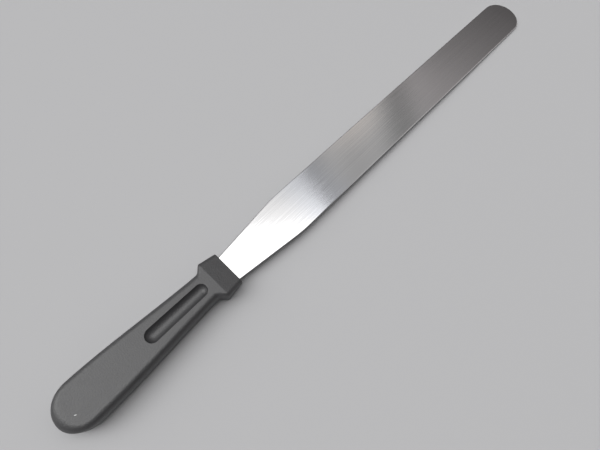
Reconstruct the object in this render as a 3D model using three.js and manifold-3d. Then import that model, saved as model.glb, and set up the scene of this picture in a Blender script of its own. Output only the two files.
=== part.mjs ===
// A crepe spatula: a long flat steel blade with a round tip, and a plastic handle moulded over its tang.
// Millimetres, +Z up. The blade lies flat along +X, and its middle plane is the handle's middle plane too.

import * as THREE from 'three';
import { mergeVertices } from 'three/addons/utils/BufferGeometryUtils.js';
import Module from 'manifold-3d';

// The blade, measured from the front of the collar
const BLADE_LENGTH = 350;
const BLADE_WIDTH = 32.3;
const BLADE_THICKNESS = 1.2;
const BLADE_EDGE_ROUND = 0.3;
const ROOT_WIDTH = 20.2;
const TAPER_LENGTH = 55;
const SHOULDER_BLEND = 8;

// The tang, hidden in the handle, measured from the front of the collar
const TANG_LENGTH = 72;
const TANG_WIDTH = 12;
const TANG_SHOULDER_DEPTH = 6;
const TANG_HOLE_DIAMETER = 5;
const TANG_HOLE_COUNT = 2;

// The handle, measured from the front of the collar
const HANDLE_LENGTH = 128.8;
const HANDLE_THICKNESS = 16;
const HANDLE_EDGE_ROUND = 3.8;
const NECK_WIDTH = 20.2;
const GRIP_WIDTH = 30;
const BUTT_DEPTH = 18;
const BUTT_EDGE_ROUND = 7.5;

// The collar between the neck and the blade: plastic beside the blade and over it at the front
const COLLAR_SIDE_WALL = 2.85;
const COLLAR_LIP = 4;
const COLLAR_SPREAD = 1.35;
const COLLAR_RIDGE_DEPTH = 12.6;
const COLLAR_EDGE_ROUND = 2.75;
const COLLAR_FRONT_CHAMFER = 0.5;
const FLARE_LENGTH = 6;

// Slopes where the handle's side leaves the ridge and the neck, how far each curve's pull reaches as a
// share of its run, and the power by which the edges widen towards the butt's end
const RIDGE_SLOPE = 0.4;
const NECK_SLOPE = 0.038;
const RIDGE_PULL = 0.32;
const FLARE_PULL = 0.39;
const NECK_PULL = 0.38;
const GRIP_PULL = 0.33;
const BUTT_ROUND_POWER = 3;

// The thumb groove on each broad face of the handle, a little narrower towards the collar
const GROOVE_FRONT_WIDTH = 8.6;
const GROOVE_BACK_WIDTH = 9.3;
const GROOVE_DEPTH = 3;
const GROOVE_LENGTH = 46.8;
const GROOVE_TO_RIDGE = 6;

// The room left round the tang in the moulding, how far cutters run past a face, and the largest share
// of the strip's thickness that the round of one edge may take
const MOULD_GAP = 0.3;
const OVERCUT = 2;
const EDGE_ROUND_LIMIT = 0.45;

// Fineness of the round stretches
const CURVE_STEPS = 16;
const BEVEL_STEPS = 2;
const FILLET_STEPS = 6;
const GROOVE_CAP_STEPS = 8;
const GROOVE_SIDES = 32;

// Sizes that follow from these
const COLLAR_FRONT_WIDTH = ROOT_WIDTH + 2 * COLLAR_SIDE_WALL;
const COLLAR_FRONT_HEIGHT = BLADE_THICKNESS + 2 * COLLAR_LIP;
const COLLAR_RIDGE_WIDTH = COLLAR_FRONT_WIDTH + 2 * COLLAR_SPREAD;
const NECK_START = -COLLAR_RIDGE_DEPTH - FLARE_LENGTH;
const BUTT_CENTRE = BUTT_DEPTH - HANDLE_LENGTH;

const wasm = await Module();
wasm.setup();

// Joining and cutting

function toSolid(geometry) {
  const bare = geometry.clone();
  bare.deleteAttribute('normal');
  bare.deleteAttribute('uv');
  const merged = mergeVertices(bare);
  return new wasm.Manifold(new wasm.Mesh({
    numProp: 3,
    vertProperties: new Float32Array(merged.attributes.position.array),
    triVerts: new Uint32Array(merged.index.array),
  }));
}

function toGeometry(solid) {
  const mesh = solid.getMesh();
  const geometry = new THREE.BufferGeometry();
  geometry.setAttribute('position', new THREE.BufferAttribute(new Float32Array(mesh.vertProperties), 3));
  geometry.setIndex(new THREE.BufferAttribute(new Uint32Array(mesh.triVerts), 1));
  geometry.computeVertexNormals();
  return geometry;
}

// Places of the lock holes, each in the middle of an equal stretch of the tang, shared by the blade and
// by the pegs of the moulding
function tangHoleCentres() {
  const stretch = (TANG_LENGTH - TANG_SHOULDER_DEPTH) / TANG_HOLE_COUNT;
  const first = -TANG_SHOULDER_DEPTH - stretch / 2;
  return Array.from({ length: TANG_HOLE_COUNT }, (unused, i) => first - i * stretch);
}

// Adds the tang's outline to a shape, from its upper corner at the root round to its lower one
function traceTang(shape, gap) {
  const rootHalf = ROOT_WIDTH / 2 + gap;
  const tangHalf = TANG_WIDTH / 2 + gap;
  const shoulder = -TANG_SHOULDER_DEPTH - gap;
  const endCentre = -TANG_LENGTH + TANG_WIDTH / 2;
  shape.lineTo(shoulder, rootHalf);
  shape.lineTo(shoulder, tangHalf);
  shape.lineTo(endCentre, tangHalf);
  shape.absarc(endCentre, 0, tangHalf, Math.PI / 2, 3 * Math.PI / 2, false);
  shape.lineTo(shoulder, -tangHalf);
  shape.lineTo(shoulder, -rootHalf);
}

function addTangHoles(shape, radius) {
  for (const centre of tangHoleCentres()) {
    const hole = new THREE.Path();
    hole.absarc(centre, 0, radius, 0, 2 * Math.PI, true);
    shape.holes.push(hole);
  }
}

// The blade with its tang, cut from one strip
function bladeGeometry() {
  const half = BLADE_WIDTH / 2;
  const rootHalf = ROOT_WIDTH / 2;
  const tipCentre = BLADE_LENGTH - half;
  const taperAngle = Math.atan2(half - rootHalf, TAPER_LENGTH);
  const blendStartX = TAPER_LENGTH - SHOULDER_BLEND * Math.cos(taperAngle);
  const blendStartY = half - SHOULDER_BLEND * Math.sin(taperAngle);
  const blendEndX = TAPER_LENGTH + SHOULDER_BLEND;

  const shape = new THREE.Shape();
  shape.moveTo(0, -rootHalf);
  shape.lineTo(blendStartX, -blendStartY);
  shape.quadraticCurveTo(TAPER_LENGTH, -half, blendEndX, -half);
  shape.lineTo(tipCentre, -half);
  shape.absarc(tipCentre, 0, half, -Math.PI / 2, Math.PI / 2, false);
  shape.lineTo(blendEndX, half);
  shape.quadraticCurveTo(TAPER_LENGTH, half, blendStartX, blendStartY);
  shape.lineTo(0, rootHalf);
  traceTang(shape, 0);
  shape.closePath();
  addTangHoles(shape, TANG_HOLE_DIAMETER / 2);

  const round = Math.min(BLADE_EDGE_ROUND, BLADE_THICKNESS * EDGE_ROUND_LIMIT);
  const geometry = new THREE.ExtrudeGeometry(shape, {
    depth: BLADE_THICKNESS - 2 * round,
    bevelThickness: round,
    bevelSize: round,
    bevelOffset: -round,
    bevelSegments: BEVEL_STEPS,
    curveSegments: CURVE_STEPS,
  });
  geometry.translate(0, 0, round - BLADE_THICKNESS / 2);
  return geometry;
}

// Half of the handle's outline seen from above, from the front of the collar to the butt
function handleOutline() {
  const ridgeHalf = COLLAR_RIDGE_WIDTH / 2;
  const neckHalf = NECK_WIDTH / 2;
  const gripHalf = GRIP_WIDTH / 2;
  const ridgePull = FLARE_LENGTH * RIDGE_PULL;
  const gripRun = NECK_START - BUTT_CENTRE;
  const neckPull = gripRun * NECK_PULL;

  const path = new THREE.Path();
  path.moveTo(-COLLAR_FRONT_CHAMFER, collarHalfWidth(-COLLAR_FRONT_CHAMFER));
  path.lineTo(-COLLAR_RIDGE_DEPTH, ridgeHalf);
  path.bezierCurveTo(
    -COLLAR_RIDGE_DEPTH - ridgePull, ridgeHalf - ridgePull * RIDGE_SLOPE,
    NECK_START + FLARE_LENGTH * FLARE_PULL, neckHalf,
    NECK_START, neckHalf,
  );
  path.bezierCurveTo(
    NECK_START - neckPull, neckHalf + neckPull * NECK_SLOPE,
    BUTT_CENTRE + gripRun * GRIP_PULL, gripHalf,
    BUTT_CENTRE, gripHalf,
  );
  path.absellipse(BUTT_CENTRE, 0, BUTT_DEPTH, gripHalf, Math.PI / 2, Math.PI, false, 0);
  return path.getPoints(CURVE_STEPS);
}

// How far a place on the collar lies between its front, 0, and its ridge, 1
function collarShare(x) {
  return Math.min(1, -x / COLLAR_RIDGE_DEPTH);
}

function collarHalfWidth(x) {
  return THREE.MathUtils.lerp(COLLAR_FRONT_WIDTH, COLLAR_RIDGE_WIDTH, collarShare(x)) / 2;
}

function halfHeight(x) {
  return THREE.MathUtils.lerp(COLLAR_FRONT_HEIGHT, HANDLE_THICKNESS, collarShare(x)) / 2;
}

// The collar's edges are rounded less than the grip's, and the flare passes from one to the other. Round
// the butt they widen again, up to a nearly full round at its end
function edgeRound(x) {
  if (x < BUTT_CENTRE) {
    const share = (BUTT_CENTRE - x) / BUTT_DEPTH;
    return THREE.MathUtils.lerp(HANDLE_EDGE_ROUND, BUTT_EDGE_ROUND, share ** BUTT_ROUND_POWER);
  }
  const share = THREE.MathUtils.clamp((-x - COLLAR_RIDGE_DEPTH) / FLARE_LENGTH, 0, 1);
  return THREE.MathUtils.lerp(COLLAR_EDGE_ROUND, HANDLE_EDGE_ROUND, share);
}

// Direction from the axis out through the handle's side: straight out, and turning round the butt
function outwardAt(x, halfWidth) {
  if (x >= BUTT_CENTRE) {
    return new THREE.Vector2(0, 1);
  }
  const gripHalf = GRIP_WIDTH / 2;
  return new THREE.Vector2((x - BUTT_CENTRE) / BUTT_DEPTH ** 2, halfWidth / gripHalf ** 2).normalize();
}

// One section of the handle: up its left side and down its right side, with corners rounded as far as
// its height lets them be
function sectionPoints({ x, halfWidth, height, edge }) {
  const outward = outwardAt(x, halfWidth);
  const round = Math.min(edge, height);
  const side = [];
  for (const end of [-1, 1]) {
    for (let i = 0; i <= FILLET_STEPS; i += 1) {
      const share = end < 0 ? i - FILLET_STEPS : i;
      const angle = (share / FILLET_STEPS) * Math.PI / 2;
      const inset = round * (1 - Math.cos(angle));
      const z = end * (height - round) + round * Math.sin(angle);
      side.push(new THREE.Vector3(x - outward.x * inset, Math.max(0, halfWidth - outward.y * inset), z));
    }
  }
  const other = side.map((p) => new THREE.Vector3(p.x, -p.y, p.z)).reverse();
  return [...side, ...other];
}

// The outside of the moulding, as sections joined from the collar's front to the butt
function handleSkin() {
  const stations = handleOutline().map(({ x, y }) => ({
    x, halfWidth: y, height: halfHeight(x), edge: edgeRound(x),
  }));
  const front = {
    x: 0,
    halfWidth: COLLAR_FRONT_WIDTH / 2 - COLLAR_FRONT_CHAMFER,
    height: COLLAR_FRONT_HEIGHT / 2 - COLLAR_FRONT_CHAMFER,
    edge: COLLAR_EDGE_ROUND,
  };
  const rings = [front, ...stations].map(sectionPoints);
  const count = rings[0].length;
  const faces = [];
  for (let i = 1; i < count - 1; i += 1) {
    faces.push([rings[0][0], rings[0][i], rings[0][i + 1]]);
  }
  for (let r = 0; r + 1 < rings.length; r += 1) {
    for (let i = 0; i < count; i += 1) {
      const next = (i + 1) % count;
      faces.push([rings[r][i], rings[r + 1][next], rings[r][next]]);
      faces.push([rings[r][i], rings[r + 1][i], rings[r + 1][next]]);
    }
  }
  return meshOfFaces(faces);
}

// A closed mesh of triangles, without those that have shrunk to a line at the butt
function meshOfFaces(faces) {
  const whole = faces.filter(([a, b, c]) => !a.equals(b) && !b.equals(c) && !c.equals(a));
  const geometry = new THREE.BufferGeometry().setFromPoints(whole.flat());
  return mergeVertices(geometry);
}

// The hollow round the tang, open at the front, with a peg left standing in each lock hole
function tangPocket() {
  const rootHalf = ROOT_WIDTH / 2 + MOULD_GAP;
  const shape = new THREE.Shape();
  shape.moveTo(OVERCUT, -rootHalf);
  shape.lineTo(OVERCUT, rootHalf);
  traceTang(shape, MOULD_GAP);
  shape.closePath();
  addTangHoles(shape, TANG_HOLE_DIAMETER / 2 - MOULD_GAP);
  const depth = BLADE_THICKNESS + 2 * MOULD_GAP;
  const geometry = new THREE.ExtrudeGeometry(shape, {
    depth,
    bevelEnabled: false,
    curveSegments: CURVE_STEPS,
  });
  geometry.translate(0, 0, -depth / 2);
  return geometry;
}

// Radius of a ball that sinks into a face to the groove's depth and leaves a round of the given width there
function grooveRadius(width) {
  return ((width / 2) ** 2 + GROOVE_DEPTH ** 2) / (2 * GROOVE_DEPTH);
}

// A long round-ended body, leaning so that its lower side sinks evenly into one broad face of the handle
function thumbGroove(face) {
  const backHalf = GROOVE_BACK_WIDTH / 2;
  const backRadius = grooveRadius(GROOVE_BACK_WIDTH);
  const frontRadius = grooveRadius(GROOVE_FRONT_WIDTH);
  const straight = GROOVE_LENGTH - backHalf - GROOVE_FRONT_WIDTH / 2;
  const drop = backRadius - frontRadius;
  const lean = Math.atan2(drop, straight);

  const profile = new THREE.Path();
  profile.absarc(0, 0, backRadius, -Math.PI / 2, lean, false);
  profile.absarc(0, Math.hypot(straight, drop), frontRadius, lean, Math.PI / 2, false);
  const geometry = new THREE.LatheGeometry(profile.getPoints(GROOVE_CAP_STEPS), GROOVE_SIDES);
  geometry.rotateZ(-Math.PI / 2);
  geometry.rotateY(lean);

  const back = -COLLAR_RIDGE_DEPTH - GROOVE_TO_RIDGE - GROOVE_LENGTH + backHalf;
  geometry.translate(back, 0, HANDLE_THICKNESS / 2 - GROOVE_DEPTH + backRadius);
  if (face < 0) {
    geometry.rotateX(Math.PI);
  }
  return geometry;
}

function handleGeometry() {
  let solid = toSolid(handleSkin());
  for (const face of [1, -1]) {
    solid = solid.subtract(toSolid(thumbGroove(face)));
  }
  solid = solid.subtract(toSolid(tangPocket()));
  return toGeometry(solid);
}

// The assembly, standing on z = 0 with its length centred on the origin
const steel = new THREE.MeshStandardMaterial({ color: 0xc3c6ca, roughness: 0.28, metalness: 1 });
const plastic = new THREE.MeshStandardMaterial({ color: 0x2b2c2e, roughness: 0.62, metalness: 0 });

const blade = new THREE.Mesh(toGeometry(toSolid(bladeGeometry())), steel);
blade.name = 'blade';
const handle = new THREE.Mesh(handleGeometry(), plastic);
handle.name = 'handle';

const spatula = new THREE.Group();
spatula.add(blade, handle);
spatula.position.set((HANDLE_LENGTH - BLADE_LENGTH) / 2, 0, HANDLE_THICKNESS / 2);

export default spatula;
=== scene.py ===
import math
from typing import NamedTuple

import bmesh
import bpy
from bpy.props import FloatProperty, FloatVectorProperty, IntProperty, PointerProperty
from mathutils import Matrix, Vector
from mathutils.geometry import interpolate_bezier


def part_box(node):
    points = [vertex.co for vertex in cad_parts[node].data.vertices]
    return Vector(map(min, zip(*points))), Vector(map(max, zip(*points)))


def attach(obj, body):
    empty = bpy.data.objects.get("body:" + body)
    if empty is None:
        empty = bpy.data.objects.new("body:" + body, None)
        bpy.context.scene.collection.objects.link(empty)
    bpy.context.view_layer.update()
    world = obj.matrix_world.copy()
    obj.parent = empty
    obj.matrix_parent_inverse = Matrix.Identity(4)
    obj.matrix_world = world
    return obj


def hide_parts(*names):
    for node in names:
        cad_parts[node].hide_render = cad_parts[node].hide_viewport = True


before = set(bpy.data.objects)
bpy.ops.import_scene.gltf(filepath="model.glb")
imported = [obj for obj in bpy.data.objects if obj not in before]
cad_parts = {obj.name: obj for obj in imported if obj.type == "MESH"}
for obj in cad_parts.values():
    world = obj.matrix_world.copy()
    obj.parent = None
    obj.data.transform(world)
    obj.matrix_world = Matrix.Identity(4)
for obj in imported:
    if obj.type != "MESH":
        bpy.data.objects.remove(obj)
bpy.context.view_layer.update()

bl_info = {
    "name": "Crepe spatula",
    "version": (1, 0, 0),
    "blender": (4, 5, 0),
    "location": "3D View > Sidebar > Spatula",
    "description": "Models a crepe spatula's brushed blade and moulded handle, and a plain studio for it",
    "category": "Object",
}

# What the frame says: its sizes in metres, and its one body
BLADE_LOW, BLADE_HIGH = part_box("blade")
HANDLE_LOW, HANDLE_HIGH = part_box("handle")
BLADE_HALF = (BLADE_HIGH.y - BLADE_LOW.y) / 2
BLADE_THICKNESS = BLADE_HIGH.z - BLADE_LOW.z
GRIP_HALF = (HANDLE_HIGH.y - HANDLE_LOW.y) / 2
HANDLE_HALF_HEIGHT = (HANDLE_HIGH.z - HANDLE_LOW.z) / 2
MIDDLE = (HANDLE_LOW.z + HANDLE_HIGH.z) / 2
COLLAR_FRONT = HANDLE_HIGH.x
BODY = "root"

# Two places closer than this, in metres, are one, and a face thinner than the second is none
NEAR = 1e-5
SLIVER = 1e-6

# Fineness of the round stretches
BLEND_STEPS = 8
TIP_STEPS = 48
TANG_STEPS = 24
HOLE_SIDES = 32
EDGE_STEPS = 3
BUTT_STEPS = 40
CORNER_STEPS = 8
GRIP_STEPS = 20
FLARE_STEPS = 10
GROOVE_SIDES = 64
GROOVE_RINGS = 32

# A bevel of this profile is a round
ROUND = 0.5

# How far the turn between the blade's taper and its parallel sides is pulled into its corner, and how many
# thicknesses long the drill is that cuts the lock holes
CORNER_PULL = 2 / 3
DRILL_REACH = 4

# How far each pull of the handle's side curves reaches, as a share of its run, their slopes, and the power
# by which the edges widen towards the butt's end
RIDGE_SLOPE = 0.4
NECK_SLOPE = 0.038
RIDGE_PULL = 0.32
FLARE_PULL = 0.39
NECK_PULL = 0.38
GRIP_PULL = 0.33
BUTT_ROUND_POWER = 3

# Faces that meet at less than the first angle are shaded as one surface, and edges that turn by more than
# the second are the groove's rim. A flat and a side differ by more than the last in their normals' heights
SMOOTH_ANGLE = math.radians(35)
RIM_ANGLE = math.radians(20)
TURN_DOWN = 0.5

# The steel's fine grain and broader streaks: their length, width and height, how strong and how deep their
# bumps are, the grain's share of the tone, the darkest and lightest tones, and the roughness of the polish
# and what the grain and the streaks add to it
GRAIN_CELL = (0.09, 0.0005, 0.0005)
STREAK_CELL = (0.25, 0.0016, 0.0016)
STEEL_BUMP = 0.5
GRAIN_DEPTH = 0.00003
STREAK_DEPTH = 0.00005
GRAIN_SHARE = 0.55
STEEL_TONES = (0.86, 1.12)
POLISH_ROUGHNESS = 0.03
GRAIN_ROUGHNESS = 0.03
STREAK_ROUGHNESS = 0.03

# The plastic's fine texture and broader mottle, in the same order
TEXTURE_CELL = (0.0009, 0.0009, 0.0009)
MOTTLE_CELL = (0.005, 0.005, 0.005)
PLASTIC_BUMP = 0.6
TEXTURE_DEPTH = 0.0003
TEXTURE_SHARE = 0.5
PLASTIC_TONES = (0.5, 1.5)
PLASTIC_ROUGHNESS = 0.38
TEXTURE_ROUGHNESS = 0.14
MOTTLE_ROUGHNESS = 0.1

# The small pale spot painted into the plastic's colour near the butt: how far it reaches each way, how much
# of that is quite pale, its turn and its colour
PALE_SPOT_REACH = (0.001, 0.00035, 0.00035)
PALE_SPOT_CORE = 0.4
PALE_SPOT_TURN = math.radians(32)
PALE_SPOT_COLOUR = (0.55, 0.55, 0.55, 1)

# The studio's light is laid out on a ceiling one unit above the spatula. A place there lies so far along the
# blade from straight overhead, towards the tip, and so far across it, towards the left side. Each stop is a
# place along the ceiling and the brightness there, first of the soft box and then of the room ahead of it
BOX_LIGHT = (
    (0, 2.6), (0.12, 2.55), (0.2, 2.35), (0.27, 2.2), (0.335, 1.1), (0.375, 0.98), (0.4, 0.89),
    (0.437, 0.72), (0.5, 0.53),
)
ROOM_LIGHT = (
    (0, 0.3), (0.5, 0.5), (0.54, 0.57), (0.6, 0.49), (0.65, 0.51), (0.69, 0.54), (0.73, 0.5),
    (0.77, 0.36), (0.815, 0.28), (0.9, 0.45), (0.98, 0.38), (1.07, 0.3), (1.19, 0.23), (1.36, 0.15),
    (1.6, 0.13), (2, 0.2),
)

# Directions lower than this count as this high, so that the ceiling ends
CEILING_END = 0.05

# The line across the ceiling that the middle of the blade mirrors, and how much the lights slant off it
BLADE_SIDE = 0.216
BOX_SLANT = 1.0
BOX_END_SLANT = -0.15
ROOM_SLANT = -0.6
FAR_ROOM_SLANT = 0.3

# Soft steps on the ceiling, each from its start to its end
BOX_BACK = (-2, -1)
BOX_END = (0.444, 0.483)
BOX_LEFT = (0.8, 1.6)
ROOM_LEFT = (0.9, 2.2)
FAR_ROOM = (0.88, 1.05)
ROSE_ROOM = (0.75, 0.95)
LAMP_EDGE = (0.03, 0.18)
DARK_RIGHT = (0.06, -0.45)

# Behind the first place the dark right side leans to the left, by the second for each unit of way
DARK_LEAN_START = -0.1
DARK_LEAN = 0.5

# Soft bands on the ceiling: where each starts, is full, begins to fade and is gone
BEHIND_ALONG = (-1.4, -1, -0.6, -0.4)
LEFT_ALONG = (-4, -2.5, -0.8, -0.4)
LEFT_ACROSS = (0.5, 0.9, 3, 5)
STRIP_ALONG = (0.4, 0.6, 2.2, 3)
STRIP_ACROSS = (-0.5, -0.3, -0.02, 0.06)
COOL_ROOM = (0.36, 0.44, 0.5, 0.56)

# The small lamp's place along and across the ceiling
LAMP_PLACE = (0.69, 0.36)

# Soft steps by direction: the two panels at the ends of the right side, by the square of the part along the
# blade and by the part across it, the horizon's right and left, and the height at which the horizon ends
END_PANEL_ALONG = (0.1, 0.25)
END_PANEL_RIGHT = (-0.25, -0.45)
HORIZON_RIGHT = (-0.2, -0.6)
HORIZON_LEFT = (0.3, 0.7)
HORIZON_TOP = (0.08, 0.3)

# Brightness of the smaller lights, and the share of the light that is lost where it is dim
BEHIND_LIGHT = 1.3
LEFT_LIGHT = 1.4
STRIP_LIGHT = 0.6
LAMP_LIGHT = 0.29
END_PANEL_LIGHT = 0.35
HORIZON_LIGHT = 0.4
DARK_RIGHT_LOSS = 0.98
ROOM_LEFT_LOSS = 0.7
HORIZON_RIGHT_LOSS = 0.9
HORIZON_LEFT_LOSS = 0.6

# Colours of the light
WHITE = (1, 1, 1, 1)
COOL = (0.925, 0.95, 1, 1)
ROSE = (1, 0.955, 0.96, 1)
WARM = (1, 0.93, 0.87, 1)

# The Mix node's sockets share their names, so its factor, its two colours and the result go by number
MIX_FACTOR = 0
MIX_FIRST = 6
MIX_SECOND = 7
MIX_RESULT = 2

# The floor's finish, and the camera's film width in millimetres and nearest view in metres
FLOOR_ROUGHNESS = 0.8
FLOOR_GLOSS = 0.2
FILM_WIDTH = 36
NEAREST_VIEW = 0.01


def length(name, description, default):
    """A size in metres that a user may change."""
    return FloatProperty(
        name=name, description=description, default=default, min=0, precision=5, unit="LENGTH"
    )


def colour(name, description, default):
    """A colour that a user may change."""
    return FloatVectorProperty(
        name=name, description=description, default=default, min=0, max=1, size=3, subtype="COLOR"
    )


class BladeSettings(bpy.types.PropertyGroup):
    """The steel strip: the blade that shows and the tang in the handle"""

    root_width: length("Root width", "Width of the blade where it leaves the collar", 0.0202)
    taper_length: length("Taper length", "From the collar to where the sides turn parallel", 0.055)
    shoulder_blend: length("Shoulder blend", "Reach of the soft turn into the parallel sides", 0.008)
    rim_width: length("Rim width", "Width of the polished rim along the edges", 0.0007)
    rim_fall: length("Rim fall", "How far the rim falls away at the edges", 0.00014)
    edge_round: length("Edge round", "Radius of the edges themselves", 0.0003)
    tang_width: length("Tang width", "Width of the tang behind its shoulders", 0.012)
    tang_shoulder: length("Tang shoulder", "Depth of the tang's shoulders in the collar", 0.006)
    hole_diameter: length("Lock hole", "Diameter of each hole that the plastic fills", 0.005)
    hole_count: IntProperty(name="Lock holes", description="Holes along the tang", default=2, min=0)
    steel: colour("Steel", "Colour of the bare steel", (0.606, 0.6, 0.602))


class HandleSettings(bpy.types.PropertyGroup):
    """The plastic moulding: butt, grip, neck and collar"""

    butt_depth: length("Butt depth", "Length of the round end", 0.018)
    butt_round: length("Butt round", "Radius of the edges at the very end", 0.0075)
    neck_width: length("Neck width", "Width of the neck behind the collar", 0.0202)
    edge_round: length("Edge round", "Radius of the grip's long edges", 0.0038)
    ridge_depth: length("Ridge depth", "From the collar's front back to its ridge", 0.0126)
    side_wall: length("Side wall", "Plastic beside the blade at the collar's front", 0.00285)
    lip: length("Lip", "Plastic over the blade at the collar's front", 0.004)
    spread: length("Spread", "How far the collar widens on each side up to its ridge", 0.00135)
    flare_length: length("Flare length", "From the ridge back to the neck", 0.006)
    collar_round: length("Collar round", "Radius of the collar's long edges", 0.00275)
    ridge_round: length("Ridge round", "Softness of the ridge", 0.0004)
    front_round: length("Front round", "Softness of the collar's front edge", 0.0005)
    groove_front: length("Groove front", "Width of the thumb groove near the collar", 0.0086)
    groove_back: length("Groove back", "Width of the thumb groove near the butt", 0.0093)
    groove_depth: length("Groove depth", "Depth of the thumb groove", 0.003)
    groove_length: length("Groove length", "Length of the thumb groove", 0.0468)
    groove_to_ridge: length("Groove to ridge", "From the ridge back to the groove", 0.006)
    groove_rim: length("Groove rim", "Softness of the groove's rim", 0.0002)
    tang_gap: length("Tang gap", "Room round the tang in the moulding", 0.00005)
    # Where the small pale spot painted into the plastic's colour lies, near the butt
    pale_spot: FloatVectorProperty(
        name="Pale spot", description="Place of the small whitish spot", default=(-0.22735, -0.00378, 0.016),
        subtype="TRANSLATION", unit="LENGTH",
    )
    plastic: colour("Plastic", "Colour of the moulding", (0.033, 0.0325, 0.0345))


class StageSettings(bpy.types.PropertyGroup):
    """The floor, the camera and the light"""

    floor_size: length("Floor size", "Side of the floor", 8)
    floor: colour("Floor", "Colour of the floor", (0.5, 0.5, 0.508))
    eye: FloatVectorProperty(
        name="Camera place", description="Where the camera stands",
        default=(-0.15993, -0.06221, 0.29503), subtype="TRANSLATION", unit="LENGTH",
    )
    eye_turn: FloatVectorProperty(
        name="Camera turn", description="How the camera is turned",
        default=tuple(math.radians(a) for a in (21.098, -7.124, -46.508)), subtype="EULER", unit="ROTATION",
    )
    lens: FloatProperty(name="Lens", description="Focal length", default=26.91, unit="CAMERA")
    light: FloatProperty(name="Light", description="Brightness of the studio light", default=1.0, min=0)


class Wire:
    """A shader socket. Arithmetic on wires adds Math nodes, and node() adds any other node."""

    def __init__(self, tree, socket=None):
        self.tree = tree
        self.socket = socket

    def node(self, kind, settings=None, sockets=None, output=0):
        """Adds a node, sets its settings, then gives its sockets their values or wires."""
        made = self.tree.nodes.new(kind)
        for name, value in (settings or {}).items():
            if name == "stops":
                set_stops(made.color_ramp, value)
            else:
                setattr(made, name, value)
        for name, value in (sockets or {}).items():
            if isinstance(value, Wire):
                self.tree.links.new(value.socket, made.inputs[name])
            else:
                made.inputs[name].default_value = value
        return Wire(self.tree, made.outputs[output]) if made.outputs else made

    def math(self, operation, *values):
        return self.node("ShaderNodeMath", {"operation": operation}, dict(enumerate(values)))

    def __add__(self, other):
        return self.math("ADD", self, other)

    def __radd__(self, other):
        return self.math("ADD", other, self)

    def __sub__(self, other):
        return self.math("SUBTRACT", self, other)

    def __rsub__(self, other):
        return self.math("SUBTRACT", other, self)

    def __mul__(self, other):
        return self.math("MULTIPLY", self, other)

    def __rmul__(self, other):
        return self.math("MULTIPLY", other, self)


def set_stops(ramp, stops):
    """Gives a colour ramp its stops, each a place from 0 to 1 and a colour."""
    while len(ramp.elements) < len(stops):
        ramp.elements.new(1)
    for element, (place, tint) in zip(ramp.elements, stops):
        element.position = place
        element.color = (*tint, 1)


def rise(wires, value, step):
    """A soft step from 0 to 1."""
    start, end = step
    sockets = {"Value": value, "From Min": start, "From Max": end}
    return wires.node("ShaderNodeMapRange", {"interpolation_type": "SMOOTHSTEP"}, sockets)


def fade(wires, value, step, loss=1):
    """A soft step from 1 down by the given loss."""
    return 1 - loss * rise(wires, value, step)


def band(wires, value, places):
    """A soft step from 0 to 1 over the first two places, and back over the last two."""
    return rise(wires, value, places[:2]) * fade(wires, value, places[2:])


def new_material(name):
    """An empty node material, and a wire to build on."""
    material = bpy.data.materials.new(name)
    material.use_nodes = True
    material.node_tree.nodes.clear()
    return material, Wire(material.node_tree)


def surface(wires, sockets):
    """Ends a material in one Principled surface."""
    shader = wires.node("ShaderNodeBsdfPrincipled", None, sockets)
    wires.node("ShaderNodeOutputMaterial", None, {"Surface": shader})


def mix_colours(wires, factor, first, second):
    """A colour between two others."""
    settings = {"data_type": "RGBA", "clamp_factor": True}
    sockets = {MIX_FACTOR: factor, MIX_FIRST: first, MIX_SECOND: second}
    return wires.node("ShaderNodeMix", settings, sockets, MIX_RESULT)


def shade(base, factor):
    """A colour made lighter or darker, with its alpha."""
    return (*(part * factor for part in base), 1)


def vary(wires, base, tone, factors):
    """A colour that goes from darker to lighter with a tone from 0 to 1."""
    darkest, lightest = factors
    return mix_colours(wires, tone, shade(base, darkest), shade(base, lightest))


def noise(wires, place, cell, detail, roughness=0.5):
    """Noise whose cells have the given length, width and height in metres."""
    scale = tuple(1 / size for size in cell)
    mapped = wires.node("ShaderNodeMapping", None, {"Vector": place, "Scale": scale})
    sockets = {"Vector": mapped, "Scale": 1, "Detail": detail, "Roughness": roughness}
    return wires.node("ShaderNodeTexNoise", None, sockets)


def brushed_steel(base):
    """Stainless steel with a fine grain along the blade."""
    material, wires = new_material("brushed_steel")
    place = wires.node("ShaderNodeTexCoord", output="Object")
    grain = noise(wires, place, GRAIN_CELL, detail=3)
    streaks = noise(wires, place, STREAK_CELL, detail=4, roughness=0.65)
    tone = GRAIN_SHARE * grain + (1 - GRAIN_SHARE) * streaks
    fine = {"Strength": STEEL_BUMP, "Distance": GRAIN_DEPTH, "Height": grain}
    brushed = wires.node("ShaderNodeBump", None, fine)
    broad = {"Strength": STEEL_BUMP, "Distance": STREAK_DEPTH, "Height": streaks, "Normal": brushed}
    surface(wires, {
        "Base Color": vary(wires, base, tone, STEEL_TONES),
        "Metallic": 1.0,
        "Roughness": POLISH_ROUGHNESS + GRAIN_ROUGHNESS * grain + STREAK_ROUGHNESS * streaks,
        "Normal": wires.node("ShaderNodeBump", None, broad),
    })
    return material


def away_from_pale_spot(wires, place, pale_spot):
    """Distance from the middle of the pale spot, which is 1 at its rim."""
    offset = wires.node("ShaderNodeVectorMath", {"operation": "SUBTRACT"}, {0: place, 1: pale_spot})
    about_pale_spot = {"Vector": offset, "Angle": PALE_SPOT_TURN}
    turned = wires.node("ShaderNodeVectorRotate", {"rotation_type": "Z_AXIS"}, about_pale_spot)
    scaled = wires.node("ShaderNodeVectorMath", {"operation": "DIVIDE"}, {0: turned, 1: PALE_SPOT_REACH})
    return wires.node("ShaderNodeVectorMath", {"operation": "LENGTH"}, {0: scaled}, "Value")


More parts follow.
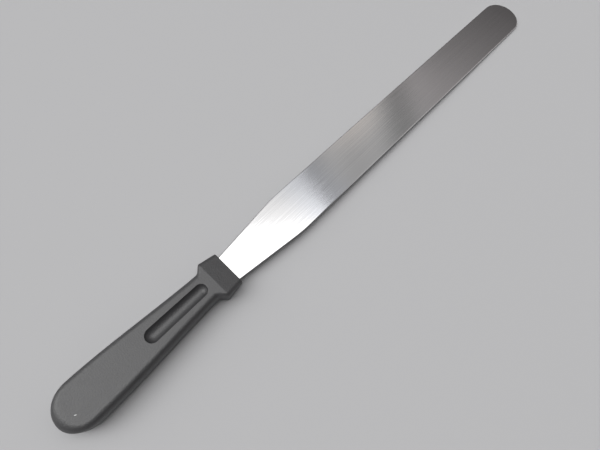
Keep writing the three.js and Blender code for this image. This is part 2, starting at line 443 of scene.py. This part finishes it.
def moulded_plastic(base, pale_spot):
    """Matt black plastic with the fine texture of its mould, and one small pale spot painted into its
    colour.
    """
    material, wires = new_material("moulded_plastic")
    place = wires.node("ShaderNodeTexCoord", output="Object")
    texture = noise(wires, place, TEXTURE_CELL, detail=3)
    mottle = noise(wires, place, MOTTLE_CELL, detail=4, roughness=0.6)
    tone = TEXTURE_SHARE * texture + (1 - TEXTURE_SHARE) * mottle
    moulded = vary(wires, base, tone, PLASTIC_TONES)
    # A small pale spot is painted into the colour near the butt
    on_pale_spot = fade(wires, away_from_pale_spot(wires, place, pale_spot), (PALE_SPOT_CORE, 1))
    fine = {"Strength": PLASTIC_BUMP, "Distance": TEXTURE_DEPTH, "Height": texture}
    surface(wires, {
        "Base Color": mix_colours(wires, on_pale_spot, moulded, PALE_SPOT_COLOUR),
        "Roughness": PLASTIC_ROUGHNESS + TEXTURE_ROUGHNESS * texture + MOTTLE_ROUGHNESS * mottle,
        "Specular IOR Level": 1.0,
        "Normal": wires.node("ShaderNodeBump", None, fine),
    })
    return material


def pale_floor(base):
    """A plain matt floor."""
    material, wires = new_material("pale_floor")
    sockets = {
        "Base Color": shade(base, 1), "Roughness": FLOOR_ROUGHNESS, "Specular IOR Level": FLOOR_GLOSS
    }
    surface(wires, sockets)
    return material


def deselect():
    """Nothing is selected, so that an operator acts only on what is added next."""
    if bpy.context.object and bpy.context.object.mode != "OBJECT":
        bpy.ops.object.mode_set(mode="OBJECT")
    bpy.ops.object.select_all(action="DESELECT")


def activate(piece):
    """Makes a piece the only one that operators act on."""
    deselect()
    bpy.context.view_layer.objects.active = piece
    piece.select_set(True)


def edit(piece):
    """Opens a piece for editing."""
    activate(piece)
    bpy.ops.object.mode_set(mode="EDIT")


def open_piece(name):
    """Names the primitive just added, puts its place into its mesh and opens it for editing."""
    piece = bpy.context.object
    piece.name = piece.data.name = name
    bpy.ops.object.transform_apply(location=True, rotation=True, scale=True)
    bpy.ops.object.mode_set(mode="EDIT")
    return piece


def pick_all():
    bpy.ops.mesh.select_all(action="SELECT")


def pick(kind, place, also=None):
    """Selects the vertices, edges or faces being edited whose corners all pass the test of place."""
    bpy.ops.mesh.select_mode(type=kind)
    bpy.ops.mesh.select_all(action="DESELECT")
    data = bpy.context.object.data
    mesh = bmesh.from_edit_mesh(data)
    for part in {"VERT": mesh.verts, "EDGE": mesh.edges, "FACE": mesh.faces}[kind]:
        corners = [part] if kind == "VERT" else part.verts
        if all(place(corner.co) for corner in corners) and (also is None or also(part)):
            part.select_set(True)
    mesh.select_flush_mode()
    bmesh.update_edit_mesh(data)


def at(x):
    """A test for places in the plane across the spatula at x."""
    return lambda p: abs(p.x - x) < NEAR


def on_rim(edge):
    """A test for edges with a face on one side only."""
    return len(edge.link_faces) == 1


def move(x=0.0, y=0.0, z=0.0):
    bpy.ops.transform.translate(value=(x, y, z))


def resize(factors, centre):
    bpy.ops.transform.resize(value=factors, center_override=centre)


def extrude(x=0.0, z=0.0):
    bpy.ops.mesh.extrude_region_move(TRANSFORM_OT_translate={"value": (x, 0, z)})


def spin(angle, x, z, steps):
    """Turns what is selected about an upright axis, and joins what then lies together."""
    bpy.ops.mesh.spin(steps=steps, angle=angle, center=(x, 0, z), axis=(0, 0, 1))
    pick_all()
    bpy.ops.mesh.remove_doubles(threshold=NEAR)


def face_outwards():
    pick_all()
    bpy.ops.mesh.normals_make_consistent(inside=False)


def bevel(offset, segments, affect="EDGES"):
    bpy.ops.mesh.bevel(offset=offset, segments=segments, profile=ROUND, affect=affect)


def apply_modifier(piece, kind, **settings):
    """Adds a modifier to a piece and applies it at once."""
    activate(piece)
    bpy.ops.object.modifier_add(type=kind)
    modifier = piece.modifiers[-1]
    for name, value in settings.items():
        setattr(modifier, name, value)
    bpy.ops.object.modifier_apply(modifier=modifier.name)


def cut(piece, cutter):
    """Cuts the shape of another object out of a piece, and removes that object."""
    apply_modifier(piece, "BOOLEAN", operation="DIFFERENCE", solver="EXACT", object=cutter)
    bpy.data.objects.remove(cutter)


def drop_slivers(piece):
    """Removes the faces without area that the cuts leave."""
    edit(piece)
    pick_all()
    bpy.ops.mesh.dissolve_degenerate(threshold=SLIVER)
    bpy.ops.object.mode_set(mode="OBJECT")


def finish_piece(piece, node, material):
    """Smooths a piece, gives it its material and puts it in the place of its CAD node."""
    activate(piece)
    bpy.ops.object.shade_smooth_by_angle(angle=SMOOTH_ANGLE)
    apply_modifier(piece, "WEIGHTED_NORMAL", keep_sharp=True)
    piece.data.materials.clear()
    piece.data.materials.append(material)
    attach(piece, BODY)
    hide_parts(node)


def blade_side(sizes):
    """Places along the blade's side from the collar to the tip's centre, as x and half width."""
    root = Vector((COLLAR_FRONT, sizes.root_width / 2))
    corner = Vector((COLLAR_FRONT + sizes.taper_length, BLADE_HALF))
    start = corner + (root - corner).normalized() * sizes.shoulder_blend
    end = corner + Vector((sizes.shoulder_blend, 0))
    blend = interpolate_bezier(
        start, start.lerp(corner, CORNER_PULL), end.lerp(corner, CORNER_PULL), end, BLEND_STEPS + 1
    )
    return [root, *blend, Vector((BLADE_HIGH.x - BLADE_HALF, BLADE_HALF))]


def model_blade(sizes):
    """The blade and its tang, drawn out from a small rectangle at the root and then thickened."""
    base = BLADE_LOW.z + sizes.rim_fall
    shoulder = COLLAR_FRONT - sizes.tang_shoulder
    root_centre = (COLLAR_FRONT - sizes.tang_shoulder / 2, 0, base)
    deselect()
    bpy.ops.mesh.primitive_plane_add(size=1, location=root_centre)
    blade = open_piece("steel_blade")
    resize((sizes.tang_shoulder, sizes.root_width, 1), root_centre)

    # The taper and the parallel sides
    places = blade_side(sizes)
    pick("EDGE", at(COLLAR_FRONT))
    for old, new in zip(places, places[1:]):
        extrude(x=new.x - old.x)
        resize((1, new.y / old.y, 1), (new.x, 0, base))

    # The middle line, and the tang between its shoulders
    tang_half = sizes.tang_width / 2
    tang_centre = BLADE_LOW.x + tang_half
    pick_all()
    bpy.ops.mesh.bisect(plane_co=(0, 0, base), plane_no=(0, 1, 0))
    for edge in (tang_half, -tang_half):
        pick("FACE", lambda p: p.x < COLLAR_FRONT + NEAR)
        bpy.ops.mesh.bisect(plane_co=(0, edge, base), plane_no=(0, 1, 0))
    pick("EDGE", lambda p: abs(p.x - shoulder) < NEAR and abs(p.y) < tang_half + NEAR)
    extrude(x=tang_centre - shoulder)

    # The round ends
    tip_centre = places[-1].x
    pick("EDGE", lambda p: abs(p.x - tip_centre) < NEAR and p.y > -NEAR)
    spin(math.pi, tip_centre, base, TIP_STEPS)
    pick("EDGE", lambda p: abs(p.x - tang_centre) < NEAR and p.y > -NEAR)
    spin(-math.pi, tang_centre, base, TANG_STEPS)

    # The thickness, with each broad face raised inside its rim
    pick_all()
    extrude(z=BLADE_THICKNESS - 2 * sizes.rim_fall)
    face_outwards()
    for side in (1, -1):
        pick("FACE", lambda p: (p.z - MIDDLE) * side > NEAR)
        bpy.ops.mesh.inset(thickness=sizes.rim_width, depth=sizes.rim_fall, use_even_offset=True)
    drill_lock_holes(blade, sizes)
    round_edges(blade, sizes)
    return blade


def drill_lock_holes(blade, sizes):
    """Each hole lies in the middle of an equal stretch of the tang."""
    shoulder = COLLAR_FRONT - sizes.tang_shoulder
    stretch = (shoulder - BLADE_LOW.x) / max(1, sizes.hole_count)
    for i in range(sizes.hole_count):
        deselect()
        bpy.ops.mesh.primitive_cylinder_add(
            vertices=HOLE_SIDES, radius=sizes.hole_diameter / 2, depth=DRILL_REACH * BLADE_THICKNESS,
            location=(shoulder - (i + 0.5) * stretch, 0, MIDDLE),
        )
        cut(blade, bpy.context.object)


def round_edges(blade, sizes):
    """Rounds every edge between the blade's flats and its sides."""

    def turns_down(edge):
        first, second = (face.normal.z for face in edge.link_faces)
        return abs(abs(first) - abs(second)) > TURN_DOWN

    edit(blade)
    pick("EDGE", lambda p: True, turns_down)
    bevel(sizes.edge_round, EDGE_STEPS)
    face_outwards()
    bpy.ops.object.mode_set(mode="OBJECT")


class Section(NamedTuple):
    """The handle's section at one place: a rectangle with rounded corners."""

    x: float
    half_width: float
    half_height: float
    round: float


def handle_sections(sizes, root_width):
    """The handle's sections from the butt's centre to the collar's front."""
    butt = HANDLE_LOW.x + sizes.butt_depth
    ridge = COLLAR_FRONT - sizes.ridge_depth
    neck = ridge - sizes.flare_length
    front_half = root_width / 2 + sizes.side_wall
    ridge_half = front_half + sizes.spread
    neck_half = sizes.neck_width / 2
    run = neck - butt
    neck_pull = run * NECK_PULL
    ridge_pull = sizes.flare_length * RIDGE_PULL
    grip = interpolate_bezier(
        Vector((butt, GRIP_HALF)),
        Vector((butt + run * GRIP_PULL, GRIP_HALF)),
        Vector((neck - neck_pull, neck_half + neck_pull * NECK_SLOPE)),
        Vector((neck, neck_half)),
        GRIP_STEPS + 1,
    )
    flare = interpolate_bezier(
        Vector((neck, neck_half)),
        Vector((neck + sizes.flare_length * FLARE_PULL, neck_half)),
        Vector((ridge - ridge_pull, ridge_half - ridge_pull * RIDGE_SLOPE)),
        Vector((ridge, ridge_half)),
        FLARE_STEPS + 1,
    )
    sections = [Section(p.x, p.y, HANDLE_HALF_HEIGHT, sizes.edge_round) for p in grip]
    for p in flare[1:]:
        share = (p.x - neck) / sizes.flare_length
        corner = sizes.edge_round + share * (sizes.collar_round - sizes.edge_round)
        sections.append(Section(p.x, p.y, HANDLE_HALF_HEIGHT, corner))
    front_height = BLADE_THICKNESS / 2 + sizes.lip
    sections.append(Section(COLLAR_FRONT, front_half, front_height, sizes.collar_round))
    return sections


def reshape_ring(old, new):
    """Turns the ring just drawn out from the old section into the new one."""
    for side in (1, -1):
        pick("VERT", lambda p: abs(p.x - new.x) < NEAR and p.y * side > NEAR)
        move(y=side * (new.half_width - old.half_width))
    for side in (1, -1):
        pick("VERT", lambda p: abs(p.x - new.x) < NEAR and (p.z - MIDDLE) * side > NEAR)
        move(z=side * (new.half_height - old.half_height))
    tighter = new.round / old.round
    y_start = new.half_width - old.round - NEAR
    z_start = new.half_height - old.round - NEAR
    for y_side, z_side in ((1, 1), (1, -1), (-1, -1), (-1, 1)):
        pick("VERT", lambda p: (
            abs(p.x - new.x) < NEAR and p.y * y_side > y_start and (p.z - MIDDLE) * z_side > z_start
        ))
        resize((1, tighter, tighter), (new.x, y_side * new.half_width, MIDDLE + z_side * new.half_height))


def widen_butt_edges(sizes, first):
    """Widens the round of the butt's edges, from the grip's own to that of the very end."""
    for i in range(1, BUTT_STEPS):
        turn = math.pi * i / BUTT_STEPS
        rim = Vector((-sizes.butt_depth * math.sin(turn), GRIP_HALF * math.cos(turn)))
        out = rim.normalized()
        start = rim.length * (1 - first.round / GRIP_HALF) - NEAR
        radius = first.round + (sizes.butt_round - first.round) * math.sin(turn) ** BUTT_ROUND_POWER
        flat = radius / (first.round * rim.length / GRIP_HALF)
        for side in (1, -1):

            def on_edge(p):
                place = Vector((p.x - first.x, p.y))
                over = (p.z - MIDDLE) * side > first.half_height - first.round - NEAR
                return over and place.dot(out) > start and abs(place.cross(out)) < NEAR

            pick("VERT", on_edge)
            resize(
                (flat, flat, radius / first.round),
                (first.x + rim.x, rim.y, MIDDLE + side * first.half_height),
            )


def model_handle(sizes, root_width):
    """The moulding: a section spun round the butt, then drawn out along the grip to the collar."""
    sections = handle_sections(sizes, root_width)
    first = sections[0]
    centre = (first.x, 0, MIDDLE)
    deselect()
    bpy.ops.mesh.primitive_plane_add(size=1, location=centre, rotation=(0, math.pi / 2, 0))
    handle = open_piece("moulded_handle")
    resize((1, 2 * first.half_width, 2 * first.half_height), centre)
    pick_all()
    bevel(first.round, CORNER_STEPS, affect="VERTICES")

    # Half of the section, spun round the butt, stretched to its depth and softened towards its end
    pick_all()
    bpy.ops.mesh.bisect(plane_co=centre, plane_no=(0, 1, 0), clear_inner=True)
    pick_all()
    bpy.ops.mesh.delete(type="ONLY_FACE")
    pick("EDGE", lambda p: abs(p.y) < NEAR)
    bpy.ops.mesh.delete(type="EDGE")
    pick_all()
    spin(-math.pi, first.x, MIDDLE, BUTT_STEPS)
    pick("VERT", lambda p: p.x < first.x - NEAR)
    resize((sizes.butt_depth / GRIP_HALF, 1, 1), centre)
    widen_butt_edges(sizes, first)

    # The grip, the neck, the flare and the collar
    for old, new in zip(sections, sections[1:]):
        pick("EDGE", at(old.x), on_rim)
        extrude(x=new.x - old.x)
        reshape_ring(old, new)
    pick("EDGE", at(COLLAR_FRONT))
    bpy.ops.mesh.edge_face_add()
    face_outwards()

    # The soft edges of the collar, and each broad face made one flat
    pick("EDGE", at(COLLAR_FRONT))
    bevel(sizes.front_round, EDGE_STEPS)
    pick("EDGE", at(COLLAR_FRONT - sizes.ridge_depth))
    bevel(sizes.ridge_round, EDGE_STEPS)
    pick("FACE", on_broad_face)
    bpy.ops.mesh.dissolve_faces()
    return handle


def on_broad_face(p):
    """A test for places on the handle's upper or lower face."""
    return abs(abs(p.z - MIDDLE) - HANDLE_HALF_HEIGHT) < NEAR


def groove_radius(sizes, width):
    """Radius of a ball that sinks to the groove's depth and leaves a round of the given width."""
    return ((width / 2) ** 2 + sizes.groove_depth ** 2) / (2 * sizes.groove_depth)


def groove_cutter(sizes, face):
    """A long round-ended body whose side sinks into one broad face, 1 above and -1 below."""
    back_radius = groove_radius(sizes, sizes.groove_back)
    narrower = groove_radius(sizes, sizes.groove_front) / back_radius
    straight = sizes.groove_length - (sizes.groove_front + sizes.groove_back) / 2
    front = COLLAR_FRONT - sizes.ridge_depth - sizes.groove_to_ridge - sizes.groove_front / 2
    back = front - straight
    bottom = MIDDLE + face * (HANDLE_HALF_HEIGHT - sizes.groove_depth)
    deselect()
    bpy.ops.mesh.primitive_uv_sphere_add(
        segments=GROOVE_SIDES, ring_count=GROOVE_RINGS, radius=back_radius,
        location=(back, 0, bottom + face * back_radius), rotation=(0, math.pi / 2, 0),
    )
    cutter = open_piece("groove_cutter")
    pick("FACE", lambda p: p.x > back - NEAR)
    bpy.ops.mesh.split()
    move(x=straight)
    resize((narrower,) * 3, (front, 0, bottom))
    pick("EDGE", lambda p: back - NEAR < p.x < front + NEAR, on_rim)
    bpy.ops.mesh.bridge_edge_loops()
    face_outwards()
    bpy.ops.object.mode_set(mode="OBJECT")
    return cutter


def cut_grooves(handle, sizes):
    """The thumb groove on each broad face, with its rim softened."""
    for face in (1, -1):
        cut(handle, groove_cutter(sizes, face))
    edit(handle)
    pick("EDGE", on_broad_face, lambda edge: edge.calc_face_angle(0) > RIM_ANGLE)
    bevel(sizes.groove_rim, EDGE_STEPS)
    bpy.ops.object.mode_set(mode="OBJECT")


def cut_tang_pocket(handle, blade, sizes):
    """The hollow that the tang fills, with the pegs left standing in its lock holes."""
    activate(blade)
    bpy.ops.object.duplicate()
    cutter = bpy.context.object
    bpy.ops.object.mode_set(mode="EDIT")
    pick_all()
    bpy.ops.transform.shrink_fatten(value=sizes.tang_gap)
    bpy.ops.object.mode_set(mode="OBJECT")
    cut(handle, cutter)


class SPATULA_OT_blade(bpy.types.Operator):
    """Models the steel blade with its tang and lock holes"""

    bl_idname = "spatula.blade"
    bl_label = "Steel blade"

    def execute(self, context):
        sizes = context.scene.spatula_blade
        blade = model_blade(sizes)
        finish_piece(blade, "blade", brushed_steel(sizes.steel))
        return {"FINISHED"}


class SPATULA_OT_handle(bpy.types.Operator):
    """Models the moulded handle round the blade's tang"""

    bl_idname = "spatula.handle"
    bl_label = "Moulded handle"

    def execute(self, context):
        sizes = context.scene.spatula_handle
        handle = model_handle(sizes, context.scene.spatula_blade.root_width)
        cut_grooves(handle, sizes)
        cut_tang_pocket(handle, bpy.data.objects["steel_blade"], sizes)
        drop_slivers(handle)
        finish_piece(handle, "handle", moulded_plastic(sizes.plastic, sizes.pale_spot))
        return {"FINISHED"}


def light_along(wires, along, stops):
    """Brightness by distance along the ceiling."""
    reach = max(place for place, _ in stops)
    peak = max(light for _, light in stops)
    ramp = [(place / reach, (light / peak,) * 3) for place, light in stops]
    return wires.node("ShaderNodeValToRGB", {"stops": ramp}, {0: along * (1 / reach)}) * peak


def overhead_light(wires, along, across):
    """The soft box, the light behind it and the room ahead of it, all dim on the right."""
    off_blade = across - BLADE_SIDE
    box = light_along(wires, along + BOX_SLANT * off_blade, BOX_LIGHT) * rise(wires, along, BOX_BACK)
    box = box * fade(wires, along + BOX_END_SLANT * off_blade, BOX_END)
    behind = BEHIND_LIGHT * band(wires, along, BEHIND_ALONG)
    slant = ROOM_SLANT + (FAR_ROOM_SLANT - ROOM_SLANT) * rise(wires, along, FAR_ROOM)
    room = light_along(wires, along + slant * off_blade, ROOM_LIGHT)
    room = room * fade(wires, across, ROOM_LEFT, ROOM_LEFT_LOSS)
    lean = DARK_LEAN * wires.math("MAXIMUM", DARK_LEAN_START - along, 0)
    right = fade(wires, across - lean, DARK_RIGHT, DARK_RIGHT_LOSS)
    return ((box + behind) * fade(wires, across, BOX_LEFT) + room) * right


def lamp_spot(wires, along, across):
    """The small round lamp, 1 in its middle."""
    lamp_along, lamp_across = LAMP_PLACE
    ahead = along - lamp_along
    aside = across - lamp_across
    return fade(wires, wires.math("SQRT", ahead * ahead + aside * aside), LAMP_EDGE)


def light_colour(wires, along, lamp):
    """White, but cool at the end of the soft box, rosy in the far room and warm at the lamp."""
    tint = mix_colours(wires, rise(wires, along, ROSE_ROOM), WHITE, ROSE)
    tint = mix_colours(wires, band(wires, along, COOL_ROOM), tint, COOL)
    return mix_colours(wires, lamp, tint, WARM)


def studio_light(strength):
    """Light from overhead, panels at the back left and on the right, one small lamp and a dim horizon."""
    world = bpy.data.worlds.new("studio")
    world.use_nodes = True
    world.node_tree.nodes.clear()
    wires = Wire(world.node_tree)
    direction = wires.node("ShaderNodeTexCoord", output="Generated")
    x, y, z = (wires.node("ShaderNodeSeparateXYZ", None, {0: direction}, axis) for axis in "XYZ")
    height = wires.math("MAXIMUM", z, CEILING_END)
    along = wires.math("DIVIDE", x, height)
    across = wires.math("DIVIDE", y, height)
    lamp = lamp_spot(wires, along, across)
    left = LEFT_LIGHT * band(wires, along, LEFT_ALONG) * band(wires, across, LEFT_ACROSS)
    strip = STRIP_LIGHT * band(wires, along, STRIP_ALONG) * band(wires, across, STRIP_ACROSS)
    ends = END_PANEL_LIGHT * rise(wires, x * x, END_PANEL_ALONG) * rise(wires, y, END_PANEL_RIGHT)
    above = overhead_light(wires, along, across) + left + strip + ends + LAMP_LIGHT * lamp
    horizon = HORIZON_LIGHT * fade(wires, y, HORIZON_RIGHT, HORIZON_RIGHT_LOSS)
    horizon = horizon * fade(wires, y, HORIZON_LEFT, HORIZON_LEFT_LOSS)
    raised = rise(wires, z, HORIZON_TOP)
    light = above * raised + horizon * (1 - raised)
    sockets = {"Color": light_colour(wires, along, lamp), "Strength": light * strength}
    background = wires.node("ShaderNodeBackground", None, sockets)
    wires.node("ShaderNodeOutputWorld", None, {"Surface": background})
    bpy.context.scene.world = world


def lay_floor(settings, ridge_depth):
    """The floor that the spatula rests on with its collar and its tip."""
    ridge = COLLAR_FRONT - ridge_depth
    slope = math.atan2(BLADE_LOW.z - HANDLE_LOW.z, BLADE_HIGH.x - ridge)
    deselect()
    bpy.ops.mesh.primitive_plane_add(
        size=settings.floor_size, location=(ridge, 0, HANDLE_LOW.z), rotation=(0, -slope, 0)
    )
    floor = bpy.context.object
    floor.name = "floor"
    floor.data.materials.append(pale_floor(settings.floor))


def place_camera(settings):
    """The camera at the photograph's viewing angle."""
    bpy.ops.object.camera_add(location=settings.eye, rotation=settings.eye_turn)
    camera = bpy.context.object
    camera.data.sensor_fit = "HORIZONTAL"
    camera.data.sensor_width = FILM_WIDTH
    camera.data.lens = settings.lens
    camera.data.clip_start = NEAREST_VIEW
    bpy.context.scene.camera = camera


class SPATULA_OT_stage(bpy.types.Operator):
    """Lays the floor, sets the light and places the camera"""

    bl_idname = "spatula.stage"
    bl_label = "Studio"

    def execute(self, context):
        settings = context.scene.spatula_stage
        context.scene.view_settings.view_transform = "Standard"
        lay_floor(settings, context.scene.spatula_handle.ridge_depth)
        studio_light(settings.light)
        place_camera(settings)
        return {"FINISHED"}


class SPATULA_PT_panel(bpy.types.Panel):
    """The spatula's sizes and the buttons that model its pieces"""

    bl_idname = "SPATULA_PT_panel"
    bl_label = "Crepe spatula"
    bl_space_type = "VIEW_3D"
    bl_region_type = "UI"
    bl_category = "Spatula"

    def draw(self, context):
        for operator, settings in PANEL_ROWS:
            box = self.layout.box()
            box.operator(operator)
            group = getattr(context.scene, settings)
            for name in group.__annotations__:
                box.prop(group, name)


PANEL_ROWS = (
    ("spatula.blade", "spatula_blade"),
    ("spatula.handle", "spatula_handle"),
    ("spatula.stage", "spatula_stage"),
)
SETTINGS = {
    "spatula_blade": BladeSettings,
    "spatula_handle": HandleSettings,
    "spatula_stage": StageSettings,
}
CLASSES = (*SETTINGS.values(), SPATULA_OT_blade, SPATULA_OT_handle, SPATULA_OT_stage, SPATULA_PT_panel)


def register():
    for each in CLASSES:
        bpy.utils.register_class(each)
    for name, group in SETTINGS.items():
        setattr(bpy.types.Scene, name, PointerProperty(type=group))


def unregister():
    for name in SETTINGS:
        delattr(bpy.types.Scene, name)
    for each in reversed(CLASSES):
        bpy.utils.unregister_class(each)


def main():
    register()
    bpy.ops.spatula.blade()
    bpy.ops.spatula.handle()
    bpy.ops.spatula.stage()


if __name__ == "__main__":
    main()
